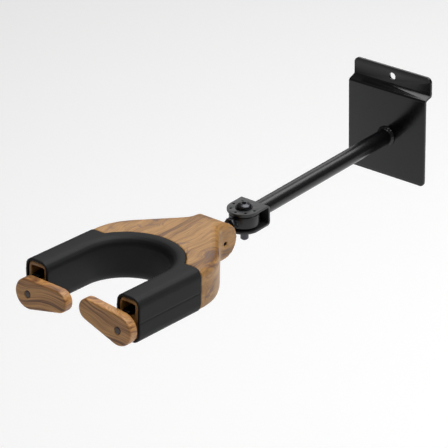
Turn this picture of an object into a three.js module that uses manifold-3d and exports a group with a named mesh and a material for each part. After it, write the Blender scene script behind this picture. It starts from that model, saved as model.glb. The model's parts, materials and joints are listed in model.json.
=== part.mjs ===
// Wall guitar hanger for slatwall: a bent hanging plate, a tubular arm, an indexed
// swivel, a wooden yoke in a soft sleeve, and two wooden gates that close its mouth.
//
// Millimetres, +Z up. The origin is on the plate's back face, on the arm's axis.
// +Y points into the wall, so the hanger reaches out along -Y.
// The yoke's own pieces are drawn in frames on the swivel's centre, then tipped up:
// the stud's on its own axis, the wood's and the gates' on the middle of the wood.

import * as THREE from 'three';
import { mergeVertices } from 'three/addons/utils/BufferGeometryUtils.js';
import Module from 'manifold-3d';

const wasm = await Module();
wasm.setup();

// ---------------------------------------------------------------- driving sizes

const GAP = 0.3; // air left between pieces that touch

const PLATE = { width: 70, top: 37, bottom: -32.7, sheet: 2, cornerR: 3.4 };
const TONGUE = { setBack: 7, foot: 39.1, top: 53.4, cornerR: 4.2, holeR: 2.8, holeZ: 46.3 };
const TUBE = { radius: 6.1, bore: 4.7 };
const COLLAR = { radius: 8, length: 2.4 };

const SWIVEL = { reach: 171, tilt: THREE.MathUtils.degToRad(3.6) };
const CLEVIS = { radius: 12.2, back: 14, top: 8.3, bottom: -7.2, sheet: 1.6, bendR: 2.6 };
const INDEX = { ringR: 9.4, holeR: 1, step: Math.PI / 4, discR: 10.9, discT: 1.2 };
const BOLT = { radius: 3, seat: 1, headR: 5.2, headH: 2.4, tip: -17.2, hex: 1.75 };
const WASHER = { seat: 0.2, thick: 0.6, boltR: 6.1, thrustR: 9.6 };
const DETENT = { notchR: 0.95, ballR: 0.62 };
const BARREL = { radius: 10.9, top: 4.9, bottom: -4, bossR: 3.8, bossEnd: -13.2 };
const STUD = { radius: 2.4, start: -6.8, end: -44 };
const NUT = { clearOfBoss: 0.5, acrossHalf: 4.3, thick: 3.2, bluntR: 4.95 };

const WOOD = { thick: 31.8, neckHalf: 13.4, neckRear: -24.6, neckRound: 21, edge: 6 };
const STUD_RISE = 2.2; // the stud's axis over the middle of the wood
const SLEEVE = {
  thick: 32.8, wall: 2, halfGap: 30.5, outer: 50.6, arcY: -126, rear: -107,
  edge: 6.4, // the rounding of its long edges
};
const ARM = { end: -169.2, bandR: 40.5 };
const CORE_GAP = SLEEVE.wall + GAP;

const GATE = {
  pinX: 40, pinZ: -5.2, back: -171.6, thick: 7.4,
  bigR: 11.2, tipR: 8, reach: 26.8, boreR: 2.7,
};
const PIN = {
  shankR: 1.5, headR: 2.3, headH: 1.6, headBack: 3.7, bushR: 2.4, bushLength: 3.4,
  washerR: 4.2, insertR: 2.6, insertLength: 11, holeR: 2.9, clearR: 1.8, plugDepth: 1.8,
};
const GATE_LIFT = { left: THREE.MathUtils.degToRad(6), right: THREE.MathUtils.degToRad(12.5) };

// -------------------------------------------------------------------- materials

function finish(color, roughness, metalness) {
  return new THREE.MeshStandardMaterial({ color, roughness, metalness });
}

const blackPaint = () => finish(0x17171a, 0.35, 0.4);
const blackSteel = () => finish(0x222226, 0.45, 0.7);
const darkSteel = () => finish(0x3a3a3e, 0.4, 0.85);
const zebraWood = () => finish(0xb07a3c, 0.55, 0.0);
const gateWood = () => finish(0xb98a4e, 0.55, 0.0);
const blackRubber = () => finish(0x1d1e20, 0.75, 0.0);
const plugWood = () => finish(0x4b3f3a, 0.6, 0.0);
const brass = () => finish(0xb08d4a, 0.35, 0.9);

// ------------------------------------------------------------- solids and meshes

// A closed three.js geometry as a manifold solid.
function solid(geometry) {
  const bare = geometry.index ? geometry.toNonIndexed() : geometry.clone();
  for (const name of ['normal', 'uv']) bare.deleteAttribute(name);
  const welded = mergeVertices(bare, 1e-4);
  const mesh = new wasm.Mesh({
    numProp: 3,
    vertProperties: new Float32Array(welded.attributes.position.array),
    triVerts: new Uint32Array(welded.index.array),
  });
  return new wasm.Manifold(mesh);
}

// A manifold solid as a three.js geometry.
function toGeometry(body) {
  const mesh = body.getMesh();
  const geometry = new THREE.BufferGeometry();
  const points = new THREE.BufferAttribute(new Float32Array(mesh.vertProperties), 3);
  geometry.setAttribute('position', points);
  geometry.setIndex(Array.from(mesh.triVerts));
  geometry.computeVertexNormals();
  return geometry;
}

function namedMesh(name, body, material) {
  const mesh = new THREE.Mesh(toGeometry(body), material);
  mesh.name = name;
  return mesh;
}

// A plate of the given outline (drawn in XY) between two heights, edges eased by `ease`.
function slab(shape, low, high, ease = 0, steps = 3, curveSegments = 10) {
  const geometry = new THREE.ExtrudeGeometry(shape, {
    depth: high - low - 2 * ease,
    bevelEnabled: ease > 0,
    bevelThickness: ease,
    bevelSize: ease,
    bevelOffset: -ease,
    bevelSegments: steps,
    curveSegments,
  });
  geometry.translate(0, 0, low + ease);
  return solid(geometry);
}

// The same, for a profile drawn as (y, z) and run along X.
function runAlongX(shape, halfWidth, curveSegments = 8) {
  const geometry = new THREE.ExtrudeGeometry(shape, {
    depth: 2 * halfWidth, bevelEnabled: false, curveSegments,
  });
  geometry.translate(0, 0, -halfWidth);
  // shape x -> Y, shape y -> Z, depth -> X
  geometry.applyMatrix4(new THREE.Matrix4().set(0, 0, 1, 0, 1, 0, 0, 0, 0, 1, 0, 0, 0, 0, 0, 1));
  return solid(geometry);
}

// The same, for an outline drawn as (x, z) and run along Y.
function runAlongY(shape, low, high, ease = 0, steps = 2, curveSegments = 10) {
  const body = slab(shape, -high, -low, ease, steps, curveSegments);
  // shape y -> Z, depth -> -Y
  return body.rotate([90, 0, 0]);
}

// A turned piece about Z from [radius, height] pairs that start and end on the axis.
function turned(profile, segments = 32) {
  const points = profile.map(([r, z]) => new THREE.Vector2(r, z));
  const geometry = new THREE.LatheGeometry(points, segments);
  geometry.rotateX(Math.PI / 2);
  return solid(geometry);
}

// A plain cylinder about Z between two heights, with chamfered rims.
function disc(radius, low, high, chamfer = 0, segments = 32) {
  const c = chamfer;
  if (c === 0) return turned([[0, low], [radius, low], [radius, high], [0, high]], segments);
  return turned([
    [0, low], [radius - c, low], [radius, low + c],
    [radius, high - c], [radius - c, high], [0, high],
  ], segments);
}

// The same pieces about Y: low and high are then Y values.
function discY(radius, low, high, chamfer = 0, segments = 28) {
  return disc(radius, -high, -low, chamfer, segments).rotate([90, 0, 0]);
}

function box(x0, x1, y0, y1, z0, z1) {
  const geometry = new THREE.BoxGeometry(x1 - x0, y1 - y0, z1 - z0);
  geometry.translate((x0 + x1) / 2, (y0 + y1) / 2, (z0 + z1) / 2);
  return solid(geometry);
}

// A hexagonal bar about Z, with flats at `flat` from the axis.
function hexBar(flat, low, high) {
  const corner = flat / Math.cos(Math.PI / 6);
  const shape = new THREE.Shape();
  for (let i = 0; i < 6; i += 1) {
    const angle = Math.PI / 6 + (i * Math.PI) / 3;
    const x = corner * Math.cos(angle);
    const y = corner * Math.sin(angle);
    if (i === 0) shape.moveTo(x, y);
    else shape.lineTo(x, y);
  }
  shape.closePath();
  return slab(shape, low, high);
}

// ------------------------------------------------------------------ wall bracket

// Front panel, a ledge folded back over its top, and the upright tongue behind it,
// which goes up behind the lip of a slatwall groove.
function slatwallPlate() {
  const t = PLATE.sheet;
  const back = TONGUE.setBack - t; // the tongue's front face
  const profile = new THREE.Shape();
  profile.moveTo(-t, PLATE.bottom);
  profile.lineTo(0, PLATE.bottom);
  profile.lineTo(0, PLATE.top - 1.4);
  profile.quadraticCurveTo(0, PLATE.top - 0.4, 1, PLATE.top - 0.1);
  profile.lineTo(back + t - 1.4, TONGUE.foot - 1.2);
  profile.quadraticCurveTo(back + t, TONGUE.foot - 0.8, back + t, TONGUE.foot + 0.8);
  profile.lineTo(back + t, TONGUE.top);
  profile.lineTo(back, TONGUE.top);
  profile.lineTo(back, TONGUE.foot + 1.4);
  profile.lineTo(back - 0.8, TONGUE.foot + 0.6);
  profile.lineTo(-0.6, PLATE.top + 1.1);
  profile.quadraticCurveTo(-t, PLATE.top + 0.7, -t, PLATE.top - 1);
  profile.closePath();
  const sheet = runAlongX(profile, PLATE.width / 2);

  const h = PLATE.width / 2;
  const low = PLATE.bottom;
  const high = TONGUE.top;
  const r = PLATE.cornerR;
  const q = TONGUE.cornerR;
  const outline = new THREE.Shape();
  outline.moveTo(-h + r, low);
  outline.lineTo(h - r, low);
  outline.absarc(h - r, low + r, r, -Math.PI / 2, 0, false);
  outline.lineTo(h, high - q);
  outline.absarc(h - q, high - q, q, 0, Math.PI / 2, false);
  outline.lineTo(-h + q, high);
  outline.absarc(-h + q, high - q, q, Math.PI / 2, Math.PI, false);
  outline.lineTo(-h, low + r);
  outline.absarc(-h + r, low + r, r, Math.PI, 1.5 * Math.PI, false);
  const blank = runAlongY(outline, -20, 20);

  const tongueHole = discY(TONGUE.holeR, 0, 12).translate([0, 0, TONGUE.holeZ]);
  const gusset = new THREE.Shape();
  gusset.moveTo(back + 0.4, TONGUE.foot + 2.2);
  gusset.lineTo(back + 0.4, TONGUE.foot - 0.4);
  gusset.lineTo(back - 2.4, TONGUE.foot - 0.6);
  gusset.closePath();
  return sheet.intersect(blank)
    .add(runAlongX(gusset, 1.4))
    .subtract(tongueHole);
}

// The rounded weld ring between plate and tube.
function tubeCollar() {
  const inner = TUBE.radius + GAP;
  const start = -PLATE.sheet - GAP;
  const end = start - COLLAR.length;
  const ring = turned([
    [0, -start], [COLLAR.radius, -start], [COLLAR.radius, -start + 0.9],
    [COLLAR.radius - 0.5, -start + 1.7], [inner + 0.5, -end], [0, -end],
  ], 40).rotate([90, 0, 0]);
  return ring.subtract(discY(inner, -20, 5, 0, 40));
}

function tubeEnd() {
  return -SWIVEL.reach + CLEVIS.back + GAP;
}

function armTube() {
  const root = -PLATE.sheet - GAP;
  const outer = discY(TUBE.radius, tubeEnd(), root, 0.3, 40);
  return outer.subtract(discY(TUBE.bore, -400, 50, 0, 32));
}

// --------------------------------------------- swivel, drawn about the bolt's axis

// Square behind and half round in front: the plan of the clevis.
function clevisPlan() {
  const r = CLEVIS.radius;
  const plan = new THREE.Shape();
  plan.moveTo(r, CLEVIS.back);
  plan.lineTo(-r, CLEVIS.back);
  plan.lineTo(-r, 0);
  plan.absarc(0, 0, r, Math.PI, 2 * Math.PI, false);
  plan.closePath();
  return plan;
}

function swivelBracket() {
  const { top, bottom, sheet: t, bendR: r, back: b } = CLEVIS;
  const front = -CLEVIS.radius - 2;
  const strap = new THREE.Shape();
  strap.moveTo(front, bottom);
  strap.lineTo(b - r, bottom);
  strap.absarc(b - r, bottom + r, r, -Math.PI / 2, 0, false);
  strap.lineTo(b, top - r);
  strap.absarc(b - r, top - r, r, 0, Math.PI / 2, false);
  strap.lineTo(front, top);
  strap.lineTo(front, top - t);
  strap.lineTo(b - r, top - t);
  strap.absarc(b - r, top - r, r - t, Math.PI / 2, 0, true);
  strap.lineTo(b - t, bottom + r);
  strap.absarc(b - r, bottom + r, r - t, 0, -Math.PI / 2, true);
  strap.lineTo(front, bottom + t);
  strap.closePath();
  const outline = slab(clevisPlan(), bottom, top, 0, 1, 20);
  let bracket = runAlongX(strap, CLEVIS.radius, 5).intersect(outline);
  bracket = bracket.subtract(disc(BOLT.radius + GAP, -20, 20));
  // Index holes round the front and sides of the upper ear.
  for (let i = 3; i <= 8; i += 1) {
    const angle = i * INDEX.step;
    const x = INDEX.ringR * Math.cos(angle);
    const y = INDEX.ringR * Math.sin(angle);
    bracket = bracket.subtract(disc(INDEX.holeR, top - t - 1, top + 1, 0, 12).translate([x, y, 0]));
  }
  return bracket;
}

function washerAboutZ(inner, outer, low, high) {
  return disc(outer, low, high, 0.15).subtract(disc(inner, low - 1, high + 1));
}

function boltWasher() {
  const low = CLEVIS.top + WASHER.seat;
  return washerAboutZ(BOLT.radius + GAP, WASHER.boltR, low, low + WASHER.thick);
}

// A button-head socket bolt, its plain round tip standing out under the lower ear.
function pivotBolt() {
  const seat = CLEVIS.top + BOLT.seat;
  const r = BOLT.radius;
  const top = seat + BOLT.headH;
  const profile = [[0, BOLT.tip], [r * 0.6, BOLT.tip + 0.25], [r, BOLT.tip + 1.3], [r, seat]];
  profile.push([BOLT.headR, seat], [BOLT.headR, seat + 0.5]);
  for (let i = 1; i < 5; i += 1) {
    const angle = (i / 5) * (Math.PI / 2) * 0.86;
    const z = seat + 0.5 + (BOLT.headH - 0.5) * Math.sin(angle) / Math.sin(Math.PI * 0.43);
    profile.push([BOLT.headR * Math.cos(angle), z]);
  }
  profile.push([BOLT.hex * 1.35, top], [0, top]);
  return turned(profile, 32).subtract(hexBar(BOLT.hex, top - 1.6, top + 1));
}

function lowerThrustWasher() {
  const low = CLEVIS.bottom + CLEVIS.sheet + GAP;
  return washerAboutZ(BOLT.radius + GAP, WASHER.thrustR, low, BARREL.bottom - GAP);
}

// The notched disc that turns with the barrel, just under the upper ear.
function indexDisc() {
  const low = BARREL.top + GAP;
  let plate = washerAboutZ(BOLT.radius + GAP, INDEX.discR, low, low + INDEX.discT);
  for (let i = 0; i < 8; i += 1) {
    const angle = i * INDEX.step;
    const x = INDEX.ringR * Math.cos(angle);
    const y = INDEX.ringR * Math.sin(angle);
    plate = plate.subtract(disc(DETENT.notchR, low - 1, low + 3, 0, 12).translate([x, y, 0]));
  }
  return plate;
}

// The ball that clicks from hole to hole, in the disc's forward notch.
function detentBall() {
  const geometry = new THREE.SphereGeometry(DETENT.ballR, 12, 8);
  geometry.translate(0, -INDEX.ringR, BARREL.top + GAP + INDEX.discT / 2);
  return solid(geometry);
}

// The boss, stud and everything ahead of it lie on the yoke's axis, tipped up.
function tipped(body) {
  return body.rotate([-THREE.MathUtils.radToDeg(SWIVEL.tilt), 0, 0]);
}

function pivotBarrel() {
  const drum = disc(BARREL.radius, BARREL.bottom, BARREL.top, 0.5, 40);
  const boss = tipped(discY(BARREL.bossR, BARREL.bossEnd, -4, 0.4));
  const studHole = tipped(discY(STUD.radius + GAP, BARREL.bossEnd - 1, STUD.start + GAP));
  return drum.add(boss)
    .subtract(studHole)
    .subtract(disc(BOLT.radius + GAP, -20, 20));
}

// ------------------------------- stud and its pieces, drawn along the tipped axis

// A threaded rod: its exposed length carries grooves one pitch apart.
function neckStud() {
  const r = STUD.radius;
  const profile = [[0, -STUD.end], [r - 0.4, -STUD.end], [r, -STUD.end - 0.5]];
  for (let y = 25; y > 17; y -= 1) profile.push([r, y], [r - 0.3, y - 0.5]);
  profile.push([r, 16.5], [r, -STUD.start], [0, -STUD.start]);
  const rod = turned(profile.reverse(), 24);
  return rod.rotate([90, 0, 0]);
}

function jamNut() {
  const start = BARREL.bossEnd - NUT.clearOfBoss;
  const bar = hexBar(NUT.acrossHalf, -start, -start + NUT.thick);
  const nut = bar.rotate([0, 0, 30]).rotate([90, 0, 0]);
  const blunt = discY(NUT.bluntR, start - 4, start + 1, 0.8, 32);
  return nut.intersect(blunt).subtract(discY(STUD.radius + GAP, -30, 0));
}

const INSERT = { radius: 4.2, rear: WOOD.neckRear - 2, length: 13 };

function neckInsert() {
  const { radius, rear, length } = INSERT;
  return discY(radius, rear - length, rear, 0.3).subtract(discY(STUD.radius + GAP, -60, 0));
}

// A small grub screw in the neck's right side.
const GRUB = { y: -36.6, z: -3.6, radius: 1.5, inner: 4.7, outer: 12.6 };

function alongX(body) {
  return body.rotate([0, 90, 0]);
}

function neckGrubScrew() {
  const rod = disc(GRUB.radius, GRUB.inner, GRUB.outer, 0.25, 20);
  const socket = hexBar(0.75, GRUB.outer - 1.5, GRUB.outer + 1);
  return alongX(rod.subtract(socket)).translate([0, GRUB.y, GRUB.z]);
}

// --------------------------------- wood and sleeve, drawn on the middle of the wood

// The wood's plan: a narrow neck, straight shoulders and the roots of both arms.
function woodPlan() {
  const n = WOOD.neckHalf;
  const outer = SLEEVE.outer - 0.3;
  const rear = WOOD.neckRear;
  const plan = new THREE.Shape();
  plan.moveTo(-n, rear);
  plan.lineTo(-n, -39.5);
  plan.quadraticCurveTo(-n, -44, -n - 4, -48.6);
  plan.lineTo(-37.8, -72.3);
  plan.bezierCurveTo(-45.2, -81, -outer, -90, -outer, -104);
  plan.lineTo(-outer, -125);
  plan.lineTo(outer, -125);
  plan.lineTo(outer, -104);
  plan.bezierCurveTo(outer, -90, 45.2, -81, 37.8, -72.3);
  plan.lineTo(n + 4, -48.6);
  plan.quadraticCurveTo(n, -44, n, -39.5);
  plan.lineTo(n, rear);
  plan.closePath();
  return plan;
}

const FAR = 230; // beyond every piece of the yoke

// A broad sheet with the U-shaped gap cut into it: only the gap's edges matter.
function gapPlan(halfGap) {
  const plan = new THREE.Shape();
  plan.moveTo(FAR / 2, -FAR);
  plan.lineTo(FAR / 2, -40);
  plan.lineTo(-FAR / 2, -40);
  plan.lineTo(-FAR / 2, -FAR);
  plan.lineTo(-halfGap, -FAR);
  plan.lineTo(-halfGap, SLEEVE.arcY);
  plan.absarc(0, SLEEVE.arcY, halfGap, Math.PI, 0, true);
  plan.lineTo(halfGap, -FAR);
  plan.closePath();
  return plan;
}

// The outside of both arms together, running on past their ends.
function outsidePlan(halfWidth) {
  const plan = new THREE.Shape();
  plan.moveTo(halfWidth, -FAR);
  plan.lineTo(halfWidth, -104);
  plan.lineTo(halfWidth - 5, -88);
  plan.lineTo(12, -78);
  plan.lineTo(-12, -78);
  plan.lineTo(-halfWidth + 5, -88);
  plan.lineTo(-halfWidth, -104);
  plan.lineTo(-halfWidth, -FAR);
  plan.closePath();
  return plan;
}

// The U of both arms, `inset` inside the sleeve's skin, cut square at `end`.
function armsU(inset, end) {
  const half = SLEEVE.thick / 2 - inset;
  const edge = SLEEVE.edge - inset;
  const gapSide = slab(gapPlan(SLEEVE.halfGap + inset), -half, half, edge, 4, 24);
  const outSide = slab(outsidePlan(SLEEVE.outer - inset), -half, half, edge, 4);
  return gapSide.intersect(outSide).intersect(box(-FAR, FAR, end, 0, -FAR, FAR));
}

// The neck's rear end, a half ellipse seen from the side.
function neckSideProfile() {
  const r = WOOD.thick / 2;
  const centre = WOOD.neckRear - WOOD.neckRound;
  const profile = new THREE.Shape();
  profile.moveTo(-200, -r);
  profile.lineTo(centre, -r);
  profile.absellipse(centre, 0, WOOD.neckRound, r, -Math.PI / 2, Math.PI / 2, false, 0);
  profile.lineTo(-200, r);
  profile.closePath();
  return profile;
}

const POCKET = { half: 5.7, low: 3.2, high: 11.2, depth: 12 };

function yokeBody() {
  const h = WOOD.thick / 2;
  const shoulders = slab(woodPlan(), -h, h, WOOD.edge, 3, 14)
    .intersect(runAlongX(neckSideProfile(), 60, 20))
    .subtract(box(-60, 60, -200, SLEEVE.rear + GAP, -30, 30))
    .subtract(disc(ARM.bandR + GAP, -30, 30, 0, 72).translate([0, SLEEVE.arcY, 0]));
  const end = ARM.end + 0.6;
  const core = armsU(CORE_GAP, end);
  const rise = [0, 0, STUD_RISE];
  const grubHole = disc(GRUB.radius + GAP, 3, 20, 0, 20);
  let wood = shoulders.add(core)
    .subtract(discY(INSERT.radius + GAP, INSERT.rear - INSERT.length - GAP, 0).translate(rise))
    .subtract(discY(STUD.radius + GAP, STUD.end - 1, 0).translate(rise))
    .subtract(alongX(grubHole).translate([0, GRUB.y, GRUB.z + STUD_RISE]));
  for (const side of [-1, 1]) {
    const x = side * GATE.pinX;
    const p = POCKET;
    wood = wood
      .subtract(box(x - p.half, x + p.half, end - 1, end + p.depth, p.low, p.high))
      .subtract(discY(PIN.holeR, end - 1, end + 14, 0, 24).translate([x, 0, GATE.pinZ]));
  }
  return wood;
}

// One soft moulding: a tube round each arm and a channel round the inside of the U.
function padSleeve() {
  const band = disc(ARM.bandR, -FAR, FAR, 0, 72).translate([0, SLEEVE.arcY, 0]);
  const arms = box(-FAR, FAR, -FAR, SLEEVE.rear, -FAR, FAR);
  return armsU(0, ARM.end)
    .intersect(arms.add(band))
    .subtract(armsU(SLEEVE.wall, ARM.end - 6));
}

// ------------------------------------------------------------- gates and their pins

// An oblong wooden flap, wide at its pin and narrower at its tip, lying along +X.
function gateFlap() {
  const { bigR, tipR, reach } = GATE;
  const lean = Math.asin((bigR - tipR) / reach);
  const plan = new THREE.Shape();
  plan.absarc(0, 0, bigR, Math.PI / 2 - lean, 1.5 * Math.PI + lean, false);
  plan.absarc(reach, 0, tipR, -Math.PI / 2 + lean, Math.PI / 2 - lean, false);
  plan.closePath();
  const front = GATE.back - GATE.thick;
  return runAlongY(plan, front, GATE.back, 1.1, 3, 12)
    .subtract(discY(GATE.boreR, front - 5, GATE.back + 5, 0, 24));
}

function gateBush() {
  return discY(PIN.bushR, GATE.back - PIN.bushLength, GATE.back - GAP, 0, 24)
    .subtract(discY(PIN.clearR, GATE.back - 20, GATE.back + 20, 0, 20));
}

// The round plug that hides the screw's head.
function gatePlug() {
  const front = GATE.back - GATE.thick;
  return discY(PIN.bushR, front - 0.1, front + PIN.plugDepth, 0.2, 24);
}

function gateWasher() {
  return discY(PIN.washerR, GATE.back + GAP, ARM.end + GAP, 0.2, 24)
    .subtract(discY(PIN.clearR, GATE.back - 20, GATE.back + 20, 0, 20));
}

function gateScrew() {
  const headBack = GATE.back - PIN.headBack;
  const head = discY(PIN.headR, headBack - PIN.headH, headBack, 0.2, 24);
  return head.add(discY(PIN.shankR, headBack - 0.5, ARM.end + 12, 0, 20));
}

// The threaded sleeve in the arm's end that takes the screw.
function armInsert() {
  const face = ARM.end + 1;
  return discY(PIN.insertR, face, face + PIN.insertLength, 0.2, 20)
    .subtract(discY(PIN.clearR, face - 5, face + 20, 0, 20));
}

// A folded leaf of spring steel, low in the pocket over the pin, that bears on the
// gate's back and holds it where it is put.
function gateSpring() {
  const t = 0.5;
  const open = 1.5; // half its height at the root
  const shut = 1.2; // and behind the nose
  const root = ARM.end + 10;
  const nose = GATE.back + GAP;
  const mid = POCKET.low + 1.9;
  const leaf = new THREE.Shape();
  leaf.moveTo(root, mid + open);
  leaf.lineTo(nose + 2, mid + shut);
  leaf.quadraticCurveTo(nose, mid + shut - 0.1, nose, mid);
  leaf.quadraticCurveTo(nose, mid - shut + 0.1, nose + 2, mid - shut);
  leaf.lineTo(root, mid - open);
  leaf.lineTo(root, mid - open + t);
  leaf.lineTo(nose + 2, mid - shut + t);
  leaf.quadraticCurveTo(nose + t, mid - 0.5, nose + t, mid);
  leaf.quadraticCurveTo(nose + t, mid + 0.5, nose + 2, mid + shut - t);
  leaf.lineTo(root, mid + open - t);
  leaf.closePath();
  return runAlongX(leaf, 3.2, 4);
}

// -------------------------------------------------------------------- the assembly

const hanger = new THREE.Group();
hanger.name = 'wall_guitar_hanger';

hanger.add(
  namedMesh('slatwall_plate', slatwallPlate(), blackPaint()),
  namedMesh('tube_collar', tubeCollar(), blackPaint()),
  namedMesh('arm_tube', armTube(), blackPaint()),
);

const swivel = new THREE.Group();
swivel.name = 'swivel_pieces';
swivel.position.set(0, -SWIVEL.reach, 0);
swivel.add(
  namedMesh('swivel_bracket', swivelBracket(), blackSteel()),
  namedMesh('bolt_washer', boltWasher(), darkSteel()),
  namedMesh('pivot_bolt', pivotBolt(), darkSteel()),
  namedMesh('lower_thrust_washer', lowerThrustWasher(), darkSteel()),
  namedMesh('index_disc', indexDisc(), blackSteel()),
  namedMesh('detent_ball', detentBall(), darkSteel()),
  namedMesh('pivot_barrel', pivotBarrel(), blackSteel()),
);
hanger.add(swivel);

const yoke = new THREE.Group();
yoke.name = 'yoke_pieces';
yoke.position.copy(swivel.position);
yoke.rotation.x = -SWIVEL.tilt;
yoke.add(
  namedMesh('neck_stud', neckStud(), darkSteel()),
  namedMesh('jam_nut', jamNut(), blackSteel()),
  namedMesh('neck_insert', neckInsert(), brass()),
  namedMesh('neck_grub_screw', neckGrubScrew(), brass()),
);
hanger.add(yoke);

// The wood and all that it carries hang a little under the stud's axis.
const fork = new THREE.Group();
fork.name = 'fork_pieces';
fork.position.z = -STUD_RISE;
fork.add(
  namedMesh('yoke_body', yokeBody(), zebraWood()),
  namedMesh('pad_sleeve', padSleeve(), blackRubber()),
);
yoke.add(fork);

// Each gate's fixed pieces stand on its pin; its moving pieces are turned about it.
for (const [name, side] of [['left', -1], ['right', 1]]) {
  const pin = [side * GATE.pinX, 0, GATE.pinZ];
  const fixed = [
    ['gate_screw', gateScrew(), darkSteel()],
    ['gate_washer', gateWasher(), darkSteel()],
    ['arm_insert', armInsert(), brass()],
  ];
  for (const [piece, body, material] of fixed) {
    fork.add(namedMesh(`${piece}_${name}`, body.translate(pin), material));
  }
  const spring = gateSpring().translate([side * GATE.pinX, 0, 0]);
  fork.add(namedMesh(`gate_spring_${name}`, spring, darkSteel()));

  const hinge = new THREE.Group();
  hinge.name = `gate_hinge_${name}`;
  hinge.position.set(...pin);
  // The left flap already points inwards; the right one is turned to face it.
  hinge.rotation.y = side < 0 ? -GATE_LIFT.left : Math.PI + GATE_LIFT.right;
  hinge.add(
    namedMesh(`gate_${name}`, gateFlap(), gateWood()),
    namedMesh(`gate_bush_${name}`, gateBush(), brass()),
    namedMesh(`gate_plug_${name}`, gatePlug(), plugWood()),
  );
  fork.add(hinge);
}

export default hanger;
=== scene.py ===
"""Looks for the wall guitar hanger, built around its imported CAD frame.

Metres, in the frame's own axes: +Y goes into the wall, +Z is up, and the
hanger reaches out along -Y. The named measures below, and the widths and
profiles handed to the mesh helpers, are millimetres.
"""
import json
import math

import bmesh
import bpy
from mathutils import Euler, Matrix, Vector


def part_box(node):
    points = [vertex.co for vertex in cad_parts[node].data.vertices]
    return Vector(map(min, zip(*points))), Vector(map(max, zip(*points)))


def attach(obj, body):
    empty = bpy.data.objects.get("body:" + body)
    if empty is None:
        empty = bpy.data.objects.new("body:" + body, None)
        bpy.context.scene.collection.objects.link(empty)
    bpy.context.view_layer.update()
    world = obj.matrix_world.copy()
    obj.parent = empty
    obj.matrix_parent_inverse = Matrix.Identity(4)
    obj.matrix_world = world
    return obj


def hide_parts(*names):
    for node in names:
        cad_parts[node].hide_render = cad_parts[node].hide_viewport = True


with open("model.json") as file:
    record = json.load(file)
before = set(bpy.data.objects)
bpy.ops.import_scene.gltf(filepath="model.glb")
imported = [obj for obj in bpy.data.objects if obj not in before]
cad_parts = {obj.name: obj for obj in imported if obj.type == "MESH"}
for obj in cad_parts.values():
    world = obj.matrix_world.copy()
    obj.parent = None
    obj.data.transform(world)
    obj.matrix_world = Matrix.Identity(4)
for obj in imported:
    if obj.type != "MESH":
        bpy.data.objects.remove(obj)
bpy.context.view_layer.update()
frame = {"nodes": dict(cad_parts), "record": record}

MM = 0.001
NODES = frame["nodes"]
JOINTS = {j["name"]: j for j in frame["record"]["behaviour"]["joints"]}
PIVOT = Vector(JOINTS["yoke_swivel"]["pos_m"])
TILT = math.asin(-JOINTS["right_gate_hinge"]["axis"][2])
LIFT = {
    "left": -math.radians(JOINTS["left_gate_hinge"]["range_deg"][0]),
    "right": -math.radians(JOINTS["right_gate_hinge"]["range_deg"][0]),
}

WALL = "wall_arm"
YOKE = "swinging_yoke"

CRISP_DEG = 30  # corners sharper than this stay crisp
BEVEL_FROM_DEG = 32  # edges sharper than this are rounded
FLAT_DEG = 0.6  # CAD faces that meet flatter than this are merged
WELD_MM = 0.002  # points nearer than this are one point
WOOD_ROUGHNESS = 0.33  # of its smoothest fibres

TUBE = {"wall": 1.4, "rim": 0.3}
# The ring at the tube's root, and the ripples of its weld.
COLLAR = {"clearance": 0.12, "length": 2.3, "segments": 138}
BEADS = {"count": 23, "height": 0.12}
# The sleeve's moulding seam, in the tipped-up yoke's own axes about the swivel.
SEAM = {"side": 46.0, "rear": -108.0, "level": -3.0, "half": 0.8, "depth": 0.25}
# How far the edges are rounded, and how fine the soft shapes are meshed.
EASE = {"plate": 0.35, "bracket": 0.22, "bolt": 0.12, "washer": 0.1, "turned": 0.14}
VOXEL = {"yoke": 0.55, "sleeve": 0.5, "gate": 0.3}


# ------------------------------------------------------------------ mesh helpers

def new_piece(name, mesh):
    piece = bpy.data.objects.new(name, mesh)
    bpy.context.scene.collection.objects.link(piece)
    return piece


def copy_of(node, name):
    """A new piece with the CAD node's mesh, its flat faces merged."""
    mesh = NODES[node].data.copy()
    mesh.name = name
    mesh.materials.clear()
    bm = bmesh.new()
    bm.from_mesh(mesh)
    bmesh.ops.remove_doubles(bm, verts=bm.verts, dist=WELD_MM * MM)
    bmesh.ops.dissolve_limit(
        bm, angle_limit=math.radians(FLAT_DEG), verts=bm.verts, edges=bm.edges
    )
    bm.to_mesh(mesh)
    bm.free()
    return new_piece(name, mesh)


def settle(piece):
    """Applies the piece's modifiers to its mesh."""
    depsgraph = bpy.context.evaluated_depsgraph_get()
    mesh = bpy.data.meshes.new_from_object(piece.evaluated_get(depsgraph))
    piece.modifiers.clear()
    piece.data = mesh
    return piece


def shade(piece):
    """Smooth shading that keeps the corners crisp."""
    piece.data.shade_smooth()
    piece.data.set_sharp_from_angle(angle=math.radians(CRISP_DEG))
    return piece


def eased(node, name, width_mm, segments=3):
    """The CAD node's shape with its hard edges rounded over."""
    piece = copy_of(node, name)
    bevel = piece.modifiers.new("ease", "BEVEL")
    bevel.width = width_mm * MM
    bevel.segments = segments
    bevel.limit_method = "ANGLE"
    bevel.angle_limit = math.radians(BEVEL_FROM_DEG)
    bevel.use_clamp_overlap = True
    bevel.harden_normals = False
    return shade(settle(piece))


def remeshed(node, name, voxel_mm, rounds):
    """The CAD node's shape in an even fine mesh, its edges worn soft."""
    piece = copy_of(node, name)
    remesh = piece.modifiers.new("remesh", "REMESH")
    remesh.mode = "VOXEL"
    remesh.voxel_size = voxel_mm * MM
    smooth = piece.modifiers.new("soften", "SMOOTH")
    smooth.iterations = rounds
    smooth.factor = 0.5
    settle(piece)
    piece.data.shade_smooth()
    return piece


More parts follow.
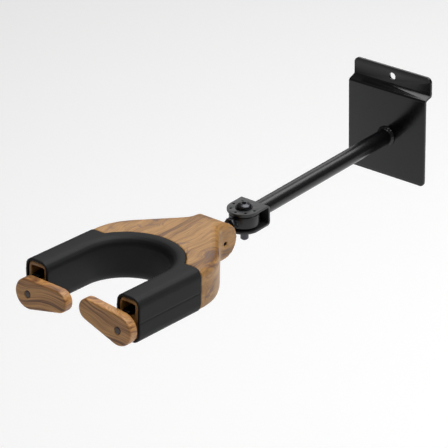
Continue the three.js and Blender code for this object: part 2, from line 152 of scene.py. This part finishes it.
def turned(name, profile, centre, axis, segments=96, ripple=None):
    """A turned piece from (radius, distance) pairs in mm along an axis.

    ripple(angle, index) gives an extra radius in mm.
    """
    bm = bmesh.new()
    rings = []
    for index, (radius, along) in enumerate(profile):
        ring = []
        for step in range(segments):
            angle = 2 * math.pi * step / segments
            r = radius + (ripple(angle, index) if ripple else 0)
            point = (r * math.cos(angle), r * math.sin(angle), along)
            ring.append(bm.verts.new(Vector(point) * MM))
        rings.append(ring)
    for low, high in zip(rings, rings[1:]):
        for step in range(segments):
            after = (step + 1) % segments
            bm.faces.new((low[step], low[after], high[after], high[step]))
    if profile[0] != profile[-1]:
        bm.faces.new(list(reversed(rings[0])))
        bm.faces.new(rings[-1])
    else:
        bmesh.ops.remove_doubles(bm, verts=bm.verts, dist=WELD_MM / 2 * MM)
    bmesh.ops.recalc_face_normals(bm, faces=bm.faces)
    turn = Vector((0, 0, 1)).rotation_difference(Vector(axis)).to_matrix().to_4x4()
    bmesh.ops.transform(bm, matrix=Matrix.Translation(centre) @ turn, verts=bm.verts)
    mesh = bpy.data.meshes.new(name)
    bm.to_mesh(mesh)
    bm.free()
    return shade(new_piece(name, mesh))


def fit_out(piece, body, material, node):
    """Gives a piece its material and its body, and hides the CAD node it stands for."""
    piece.data.materials.clear()
    piece.data.materials.append(material)
    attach(piece, body)
    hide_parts(node)


# -------------------------------------------------------------- material helpers

class Tree:
    """A short way to write a material's nodes."""

    def __init__(self, name):
        self.material = bpy.data.materials.new(name)
        self.material.use_nodes = True
        self.tree = self.material.node_tree
        self.shader = self.tree.nodes["Principled BSDF"]

    def add(self, kind, inputs=None, **settings):
        node = self.tree.nodes.new(kind)
        for key, value in settings.items():
            setattr(node, key, value)
        for key, value in (inputs or {}).items():
            self.put(node.inputs[key], value)
        return node

    def put(self, socket, value):
        if isinstance(value, bpy.types.NodeSocket):
            self.tree.links.new(value, socket)
        else:
            socket.default_value = value

    def set(self, **values):
        for key, value in values.items():
            self.put(self.shader.inputs[key.replace("_", " ")], value)

    def mapped(self, rotation=(0, 0, 0), scale=(1, 1, 1), location=(0, 0, 0), source=None):
        """Object coordinates in millimetres, turned, moved and stretched."""
        if source is None:
            source = self.add("ShaderNodeTexCoord").outputs["Object"]
            source = self.add(
                "ShaderNodeVectorMath", {0: source, "Scale": 1000.0}, operation="SCALE"
            ).outputs[0]
        turn = self.add(
            "ShaderNodeMapping",
            {"Vector": source, "Rotation": rotation, "Location": location, "Scale": scale},
        )
        return turn.outputs[0]

    def noise(self, vector, scale, detail=2.0, roughness=0.5, distortion=0.0):
        node = self.add(
            "ShaderNodeTexNoise",
            {
                "Vector": vector, "Scale": scale, "Detail": detail,
                "Roughness": roughness, "Distortion": distortion,
            },
        )
        return node.outputs["Fac"]

    def ramp(self, factor, stops):
        node = self.add("ShaderNodeValToRGB", {"Fac": factor})
        elements = node.color_ramp.elements
        while len(elements) < len(stops):
            elements.new(0.5)
        for element, (position, colour) in zip(elements, stops):
            element.position = position
            element.color = colour if len(colour) == 4 else (*colour, 1.0)
        return node.outputs["Color"]

    def grey(self, factor, stops):
        return self.ramp(factor, [(at, (v, v, v)) for at, v in stops])

    def mix(self, factor, a, b, blend="MIX"):
        node = self.add("ShaderNodeMix", data_type="RGBA", blend_type=blend)
        self.put(node.inputs[0], factor)
        self.put(node.inputs[6], a)
        self.put(node.inputs[7], b)
        return node.outputs[2]

    def maths(self, operation, a, b):
        return self.add("ShaderNodeMath", {0: a, 1: b}, operation=operation).outputs[0]

    def bump(self, height, distance_mm, strength):
        inputs = {"Height": height, "Distance": distance_mm * MM, "Strength": strength}
        return self.add("ShaderNodeBump", inputs).outputs[0]


def srgb(red, green, blue):
    """An 8-bit colour as linear light."""
    def one(value):
        value /= 255
        return value / 12.92 if value <= 0.04045 else ((value + 0.055) / 1.055) ** 2.4
    return (one(red), one(green), one(blue), 1.0)


def lighter(colour, times):
    """The same colour, brighter, within what a surface can reflect."""
    return (*[min(1.0, value * times) for value in colour[:3]], 1.0)


# ---------------------------------------------------------------------- materials

def wood(name, coords, along, across, tones, knots=0.0, fine=1.0):
    """Oiled hardwood. along and across are index 0-2 of the grain's and the
    bands' axes in coords; tones are light, middle, streak and stain colours;
    knots is the stains' strength and fine draws the bands closer together."""
    t = Tree(name)
    base = coords(t)
    third = 3 - along - across

    def stretched(along_scale, across_scale, third_scale):
        scale = [0.0, 0.0, 0.0]
        scale[along] = along_scale
        scale[across] = across_scale
        scale[third] = third_scale
        return t.mapped(scale=tuple(scale), source=base)

    # The grain wanders sideways over a few centimetres.
    sway = t.noise(t.mapped(scale=(0.016, 0.016, 0.016), source=base), 1.0, 2.0)
    shift = t.maths("MULTIPLY", t.maths("SUBTRACT", sway, 0.5), 34.0)
    offset = t.add("ShaderNodeCombineXYZ", {across: shift}).outputs[0]
    base = t.add("ShaderNodeVectorMath", {0: base, 1: offset}, operation="ADD").outputs[0]

    # Long along the grain, short across it: the growth bands down to the pores.
    bands = t.noise(stretched(0.007, 0.14 * fine, 0.04), 1.0, 3.0, 0.62, 0.6)
    streaks = t.noise(stretched(0.012, 0.55 * fine, 0.12), 1.0, 4.0, 0.6, 0.3)
    fibres = t.noise(stretched(0.07, 2.4, 2.2), 1.0, 3.0, 0.7)
    pores = t.noise(stretched(0.22, 4.6, 4.0), 1.0, 1.0, 0.5)

    light, middle, streak, stain = tones
    tone = t.ramp(bands, [(0.34, streak), (0.45, middle), (0.56, light), (0.68, middle)])
    line = t.grey(streaks, [(0.36, 0.0), (0.44, 0.75), (0.5, 0.0)])
    colour = t.mix(t.maths("MULTIPLY", line, 0.55), tone, streak)
    grain = t.grey(fibres, [(0.3, 0.78), (0.62, 1.1)])
    colour = t.mix(0.75, colour, grain, "MULTIPLY")
    if knots:
        blotch = t.noise(stretched(0.05, 0.11, 0.11), 1.0, 3.0, 0.65, 0.8)
        where = t.grey(blotch, [(0.56, 0.0), (0.66, 1.0)])
        colour = t.mix(t.maths("MULTIPLY", where, knots), colour, stain)
    dots = t.grey(pores, [(0.62, 0.0), (0.7, 1.0)])
    colour = t.mix(t.maths("MULTIPLY", dots, 0.35), colour, streak)

    rough = t.maths("ADD", t.maths("MULTIPLY", fibres, 0.18), WOOD_ROUGHNESS)
    relief = t.maths("SUBTRACT", fibres, t.maths("MULTIPLY", dots, 0.5))
    t.set(Base_Color=colour, Roughness=rough, Normal=t.bump(relief, 0.05, 0.55))
    t.shader.inputs["Specular IOR Level"].default_value = 0.45
    t.shader.inputs["Coat Weight"].default_value = 0.12
    t.shader.inputs["Coat Roughness"].default_value = 0.3
    return t.material


def yoke_coords(t):
    """Millimetres from the swivel's axis, along the tipped-up yoke."""
    turn = Euler((TILT, 0, 0)).to_matrix()
    move = -(turn @ (PIVOT * 1000))
    return t.mapped(rotation=(TILT, 0, 0), location=tuple(move))


def gate_coords(side):
    sign = 1 if side == "left" else -1

    def coords(t):
        level = yoke_coords(t)
        return t.mapped(
            rotation=(0, sign * LIFT[side], 0), location=(37.0 * sign, 11.0, 5.0), source=level
        )
    return coords


HONEY = (srgb(182, 136, 78), srgb(160, 115, 60), srgb(102, 66, 32), srgb(98, 72, 66))
GATE_HONEY = (srgb(210, 156, 94), srgb(182, 128, 74), srgb(100, 62, 36), srgb(92, 66, 60))


def rubber():
    t = Tree("soft_black_rubber")
    coords = t.mapped()
    broad = t.noise(coords, 0.05, 2.0)
    fine = t.noise(coords, 3.2, 3.0, 0.7)
    colour = t.mix(broad, srgb(6, 6, 8), srgb(11, 11, 13))
    rough = t.maths("ADD", t.maths("MULTIPLY", fine, 0.16), 0.5)
    t.set(Base_Color=colour, Roughness=rough, Normal=t.bump(fine, 0.03, 0.5))
    t.shader.inputs["Specular IOR Level"].default_value = 0.32
    return t.material


def paint(name, colour, rough, coat, peel=0.5):
    """Black paint or coating over steel, with a faint orange peel."""
    t = Tree(name)
    coords = t.mapped()
    peel_height = t.noise(coords, 0.55, 2.0, 0.5)
    dust = t.noise(coords, 5.0, 2.0, 0.6)
    dusty = lighter(colour, 1.5)
    tone = t.mix(t.grey(dust, [(0.45, 0.0), (0.75, 1.0)]), colour, dusty)
    roughness = t.maths("ADD", t.maths("MULTIPLY", dust, 0.12), rough - 0.06)
    t.set(Base_Color=tone, Roughness=roughness, Normal=t.bump(peel_height, 0.02, peel))
    t.shader.inputs["Coat Weight"].default_value = coat
    t.shader.inputs["Coat Roughness"].default_value = 0.12
    return t.material


def steel(name, colour, rough):
    """Blackened or plain steel with fine turning marks."""
    t = Tree(name)
    coords = t.mapped()
    marks = t.noise(t.mapped(scale=(2.0, 2.0, 9.0), source=coords), 1.0, 2.0, 0.6)
    bright = lighter(colour, 1.35)
    tone = t.mix(t.grey(marks, [(0.3, 0.0), (0.7, 1.0)]), colour, bright)
    roughness = t.maths("ADD", t.maths("MULTIPLY", marks, 0.2), rough - 0.1)
    t.set(Base_Color=tone, Roughness=roughness, Normal=t.bump(marks, 0.01, 0.4))
    t.shader.inputs["Metallic"].default_value = 1.0
    return t.material


def plug_end_grain():
    """The mottled dark end grain of a turned plug."""
    t = Tree("plug_end_grain")
    coords = t.mapped()
    pores = t.noise(coords, 2.6, 3.0, 0.7)
    colour = t.mix(pores, srgb(58, 48, 44), srgb(104, 90, 84))
    t.set(Base_Color=colour, Roughness=0.55, Normal=t.bump(pores, 0.03, 0.5))
    return t.material


MATERIALS = {
    "yoke_wood": wood("yoke_wood", yoke_coords, 1, 0, HONEY, knots=0.75),
    "gate_left_wood": wood("gate_left_wood", gate_coords("left"), 0, 2, GATE_HONEY, fine=2.2),
    "gate_right_wood": wood("gate_right_wood", gate_coords("right"), 0, 2, GATE_HONEY, fine=2.2),
    "rubber": rubber(),
    "plate_paint": paint("plate_gloss_black", srgb(9, 9, 11), 0.16, 0.0, 0.25),
    "tube_paint": paint("tube_satin_black", srgb(9, 9, 11), 0.26, 0.0),
    "bracket_coat": paint("bracket_satin_black", srgb(36, 36, 38), 0.36, 0.1, 0.8),
    "barrel_coat": paint("barrel_satin_black", srgb(12, 12, 13), 0.36, 0.1, 0.8),
    "bolt_steel": steel("blackened_steel", srgb(70, 70, 74), 0.28),
    "washer_steel": steel("washer_steel", srgb(30, 30, 32), 0.4),
    "brass": steel("turned_brass", srgb(176, 136, 78), 0.36),
    "plug": plug_end_grain(),
}


# ------------------------------------------------------------------------- pieces

def wall_pieces():
    plate = eased("slatwall_plate", "hanging_plate", EASE["plate"])
    fit_out(plate, WALL, MATERIALS["plate_paint"], "slatwall_plate")

    low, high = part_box("arm_tube")
    radius = (high.z - low.z) / 2 / MM
    length = (high.y - low.y) / MM
    inner = radius - TUBE["wall"]
    rim = TUBE["rim"]
    profile = [
        (inner, 0), (radius - rim, 0), (radius, rim),
        (radius, length - rim), (radius - rim, length), (inner, length), (inner, 0),
    ]
    tube = turned("arm_tube_painted", profile, Vector((0, low.y, 0)), (0, 1, 0))
    fit_out(tube, WALL, MATERIALS["tube_paint"], "arm_tube")

    low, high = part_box("tube_collar")
    reach = (high.z - low.z) / 2 / MM
    inner = radius + COLLAR["clearance"]
    end = COLLAR["length"]
    profile = [
        (inner, 0), (reach, 0), (reach - 0.1, 0.5), (reach - 0.75, 1.15),
        (reach - 1.25, 1.75), (inner + 0.15, end), (inner, end), (inner, 0),
    ]

    def bead(angle, index):
        """Ripples the ring's outside, from its second point to its fifth."""
        wave = BEADS["height"] * math.sin(BEADS["count"] * angle + index)
        return wave if 1 <= index <= 4 else 0.0

    start = Vector((0, high.y, 0))
    ring = turned("weld_ring", profile, start, (0, -1, 0), COLLAR["segments"], bead)
    fit_out(ring, WALL, MATERIALS["tube_paint"], "tube_collar")

    bracket = eased("swivel_bracket", "clevis_bracket", EASE["bracket"])
    fit_out(bracket, WALL, MATERIALS["bracket_coat"], "swivel_bracket")
    bolt = eased("pivot_bolt", "button_bolt", EASE["bolt"])
    fit_out(bolt, WALL, MATERIALS["bolt_steel"], "pivot_bolt")
    for node in ("bolt_washer", "lower_thrust_washer"):
        piece = eased(node, node + "_turned", EASE["washer"], 2)
        fit_out(piece, WALL, MATERIALS["washer_steel"], node)


def press_seam(sleeve):
    """Presses a thin moulding seam along the sleeve's two outer sides."""
    level = Euler((TILT, 0, 0)).to_matrix()
    for vertex in sleeve.data.vertices:
        place = level @ (vertex.co - PIVOT) / MM
        if abs(place.x) < SEAM["side"] or place.y > SEAM["rear"]:
            continue
        off = abs(place.z - SEAM["level"]) / SEAM["half"]
        if off < 1:
            press = SEAM["depth"] * (1 - off * off) * MM
            vertex.co.x -= math.copysign(press, place.x)


def yoke_pieces():
    wooden = remeshed("yoke_body", "wooden_yoke", VOXEL["yoke"], 6)
    fit_out(wooden, YOKE, MATERIALS["yoke_wood"], "yoke_body")

    sleeve = remeshed("pad_sleeve", "soft_sleeve", VOXEL["sleeve"], 8)
    press_seam(sleeve)
    fit_out(sleeve, YOKE, MATERIALS["rubber"], "pad_sleeve")

    metal = {
        "index_disc": ("black_steel", "barrel_coat"),
        "pivot_barrel": ("black_steel", "barrel_coat"),
        "jam_nut": ("black_steel", "bolt_steel"),
        "neck_stud": ("dark_steel", "bolt_steel"),
        "neck_insert": ("brass", "brass"),
        "neck_grub_screw": ("dark_steel", "washer_steel"),
    }
    for node, (slot, material) in metal.items():
        piece = eased(node, node + "_finished", EASE["turned"], 2)
        fit_out(piece, YOKE, MATERIALS[material], node)
    for side in ("left", "right"):
        for node, slot, material in (
            ("gate_screw_", "dark_steel", "bolt_steel"),
            ("gate_washer_", "dark_steel", "washer_steel"),
            ("arm_insert_", "brass", "brass"),
            ("gate_spring_", "dark_steel", "washer_steel"),
        ):
            piece = eased(node + side, node + side + "_finished", EASE["washer"], 2)
            fit_out(piece, YOKE, MATERIALS[material], node + side)


def gate_pieces():
    for side in ("left", "right"):
        body = side + "_gate"
        flap = remeshed("gate_" + side, "wooden_gate_" + side, VOXEL["gate"], 6)
        fit_out(flap, body, MATERIALS["gate_" + side + "_wood"], "gate_" + side)
        bush = eased("gate_bush_" + side, "bush_" + side, EASE["washer"], 2)
        fit_out(bush, body, MATERIALS["brass"], "gate_bush_" + side)
        plug = eased("gate_plug_" + side, "plug_" + side, EASE["bolt"], 2)
        fit_out(plug, body, MATERIALS["plug"], "gate_plug_" + side)


def leftover_nodes():
    """CAD nodes that stay as they are get a finish too."""
    ball = NODES["detent_ball"]
    ball.data.materials.clear()
    ball.data.materials.append(MATERIALS["bolt_steel"])


# -------------------------------------------------------------------------- studio

# Degrees, metres and the lens in millimetres.
VIEW = {
    "azimuth": 40.12, "elevation": 27.33, "roll": -1.34,
    "distance": 1.743, "lens": 198.68, "aim": (-0.0101, -0.1812, -0.0039),
}
FLOOR = {"height": -0.42, "half": 6, "albedo": 0.95, "glow": 0.1}


def camera():
    a = math.radians(VIEW["azimuth"])
    e = math.radians(VIEW["elevation"])
    k = math.radians(VIEW["roll"])
    back = Vector((math.sin(a) * math.cos(e), -math.cos(a) * math.cos(e), math.sin(e)))
    right = Vector((math.cos(a), math.sin(a), 0))
    up = back.cross(right)
    rolled_right = right * math.cos(k) + up * math.sin(k)
    rolled_up = up * math.cos(k) - right * math.sin(k)
    data = bpy.data.cameras.new("photo_camera")
    data.lens = VIEW["lens"]
    data.sensor_width = 36
    data.clip_end = 20
    eye = bpy.data.objects.new("photo_camera", data)
    turn = Matrix((rolled_right, rolled_up, back)).transposed().to_4x4()
    place = Vector(VIEW["aim"]) + back * VIEW["distance"]
    eye.matrix_world = Matrix.Translation(place) @ turn
    bpy.context.scene.collection.objects.link(eye)
    bpy.context.scene.camera = eye


def area_light(name, place, aim, size, watts):
    data = bpy.data.lights.new(name, "AREA")
    data.shape = "RECTANGLE"
    data.size, data.size_y = size
    data.energy = watts
    lamp = bpy.data.objects.new(name, data)
    direction = Vector(aim) - Vector(place)
    lamp.rotation_euler = direction.to_track_quat("-Z", "Y").to_euler()
    lamp.location = place
    bpy.context.scene.collection.objects.link(lamp)


def studio():
    """Soft light from above and from behind over a white floor."""
    aim = (0, -0.2, 0)
    area_light("overhead", (0.35, 0.45, 1.9), aim, (2.2, 2.2), 54)
    area_light("back_left", (-1.5, 1.8, 1.25), aim, (1.2, 1.2), 6)
    area_light("right", (1.9, 0.6, 1.3), aim, (1.0, 1.0), 4)

    world = bpy.data.worlds.new("studio_white")
    bpy.context.scene.world = world
    world.use_nodes = True
    sky = world.node_tree.nodes["Background"]
    sky.inputs["Color"].default_value = (1, 1, 1, 1)
    sky.inputs["Strength"].default_value = 0.14

    mesh = bpy.data.meshes.new("floor")
    half = FLOOR["half"]
    mesh.from_pydata(
        [(-half, -half, 0), (half, -half, 0), (half, half, 0), (-half, half, 0)],
        [], [(0, 1, 2, 3)],
    )
    floor = new_piece("floor", mesh)
    floor.location.z = FLOOR["height"]
    t = Tree("pale_floor")
    white = FLOOR["albedo"]
    t.set(Base_Color=(white, white, white, 1.0), Roughness=1.0)
    t.shader.inputs["Specular IOR Level"].default_value = 0.0
    t.shader.inputs["Emission Color"].default_value = (1, 1, 1, 1)
    t.shader.inputs["Emission Strength"].default_value = FLOOR["glow"]
    floor.data.materials.append(t.material)
    bpy.context.scene.view_settings.view_transform = "Standard"


wall_pieces()
yoke_pieces()
gate_pieces()
leftover_nodes()
camera()
studio()
